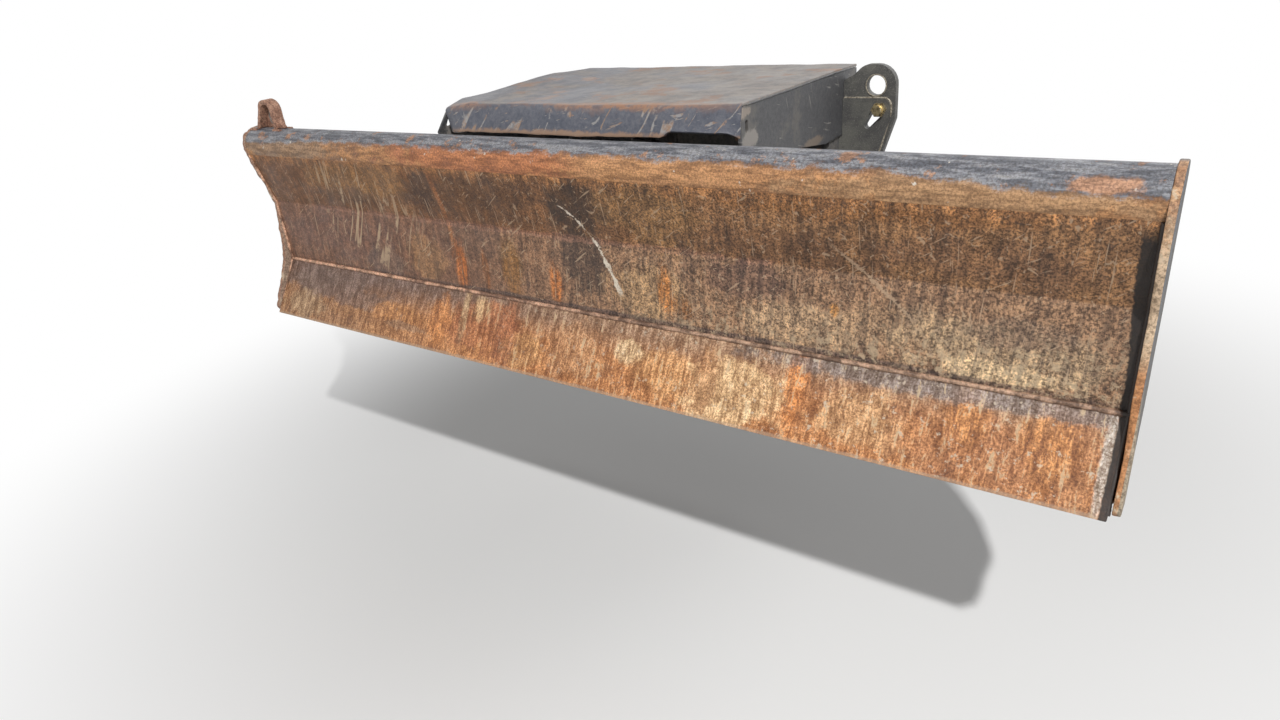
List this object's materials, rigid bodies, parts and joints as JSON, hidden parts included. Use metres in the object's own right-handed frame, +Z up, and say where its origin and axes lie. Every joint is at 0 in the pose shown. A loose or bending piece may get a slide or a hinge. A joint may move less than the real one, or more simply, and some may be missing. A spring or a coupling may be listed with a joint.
{
  "type": "dozer blade attachment of a wheeled excavator",
  "caption": "Wide dozer blade with rolled top tube on a parallel lift linkage with hydraulic cylinders, carried by a bolt-on bracket with a sheet cover.",
  "frame": {"origin": "middle of the bolt pattern on the bracket's rear mounting face", "axes": "+X along the blade to the right as seen from its face, +Y back through the mounting face, +Z up"},
  "size_m": [2.55, 0.87, 0.9362],
  "materials": {
    "worn_plate": "worn bare, dark brown rust with orange streaks",
    "cutting_plate": "bright orange rust with upright scratches",
    "scuffed_paint": "dark blue-grey paint, scuffed",
    "cover_paint": "dark blue-grey paint with pale scratches and rust at the edges",
    "frame_paint": "dark grey paint, dusty",
    "pin_steel": "turned steel, greasy",
    "chromed_rod": "hard chrome, polished",
    "zinc_fitting": "yellow zinc plating"
  },
  "bodies": {
    "bracket": {"base_plate": "frame_paint", "cheeks": "frame_paint", "inner_cheeks": "frame_paint", "bracket_pins": "pin_steel", "cylinder_ears": "frame_paint", "cylinder_pins": "pin_steel", "top_shelf": "frame_paint", "bottom_shelf": "frame_paint", "lug_plate": "frame_paint", "doubler": "frame_paint", "port_fitting": "zinc_fitting", "cover_top": "cover_paint", "cover_side_left": "cover_paint", "cover_side_right": "cover_paint"},
    "lift_arm": {"arm_left": "frame_paint", "arm_right": "frame_paint", "cross_tube": "frame_paint", "rod_forks": "frame_paint", "rod_pin_ends": "pin_steel"},
    "blade": {"mouldboard": "worn_plate", "top_tube": "scuffed_paint", "lower_plate": "cutting_plate", "end_plate_left": "worn_plate", "end_plate_right": "worn_plate", "back_beam": "frame_paint", "back_ribs": "frame_paint", "tower_plates": "frame_paint", "blade_pins": "pin_steel", "corner_loop": "worn_plate"},
    "upper_link_left": {"link_left": "frame_paint"},
    "upper_link_right": {"link_right": "frame_paint"},
    "cylinder_left": {"barrel_left": "frame_paint"},
    "cylinder_right": {"barrel_right": "frame_paint"},
    "piston_rod_left": {"rod_left": "chromed_rod"},
    "piston_rod_right": {"rod_right": "chromed_rod"}
  },
  "joints": [
    {"name": "blade_lift", "type": "hinge", "parent": "bracket", "child": "lift_arm", "pos_m": [0, -0.091, -0.35], "axis": [1, 0, 0], "range_deg": [0, 67]},
    {"name": "blade_level", "type": "hinge", "parent": "lift_arm", "child": "blade", "pos_m": [0, -0.60801, -0.0078], "axis": [1, 0, 0], "range_deg": [-67, 0]},
    {"name": "link_swing_left", "type": "hinge", "parent": "bracket", "child": "upper_link_left", "pos_m": [0, -0.131, -0.125], "axis": [1, 0, 0], "range_deg": [0, 67]},
    {"name": "cylinder_swing_left", "type": "hinge", "parent": "bracket", "child": "cylinder_left", "pos_m": [0, -0.085, 0.32], "axis": [1, 0, 0], "range_deg": [0, 10.7]},
    {"name": "rod_stroke_left", "type": "slide", "parent": "cylinder_left", "child": "piston_rod_left", "axis": [0, -0.4323, -0.9017], "range_m": [0, 0.289]},
    {"name": "link_swing_right", "type": "hinge", "parent": "bracket", "child": "upper_link_right", "pos_m": [0, -0.131, -0.125], "axis": [1, 0, 0], "range_deg": [0, 67]},
    {"name": "cylinder_swing_right", "type": "hinge", "parent": "bracket", "child": "cylinder_right", "pos_m": [0, -0.085, 0.32], "axis": [1, 0, 0], "range_deg": [0, 10.7]},
    {"name": "rod_stroke_right", "type": "slide", "parent": "cylinder_right", "child": "piston_rod_right", "axis": [0, -0.4323, -0.9017], "range_m": [0, 0.289]}
  ],
  "couplings": [
    {"joint": "blade_level", "follows": "blade_lift", "ratio": -1},
    {"joint": "link_swing_left", "follows": "blade_lift", "ratio": 1},
    {"joint": "cylinder_swing_left", "follows": "blade_lift", "ratio": 0.1592},
    {"joint": "rod_stroke_left", "follows": "blade_lift", "m_per_rad": 0.2463},
    {"joint": "link_swing_right", "follows": "blade_lift", "ratio": 1},
    {"joint": "cylinder_swing_right", "follows": "blade_lift", "ratio": 0.1592},
    {"joint": "rod_stroke_right", "follows": "blade_lift", "m_per_rad": 0.2463}
  ]
}
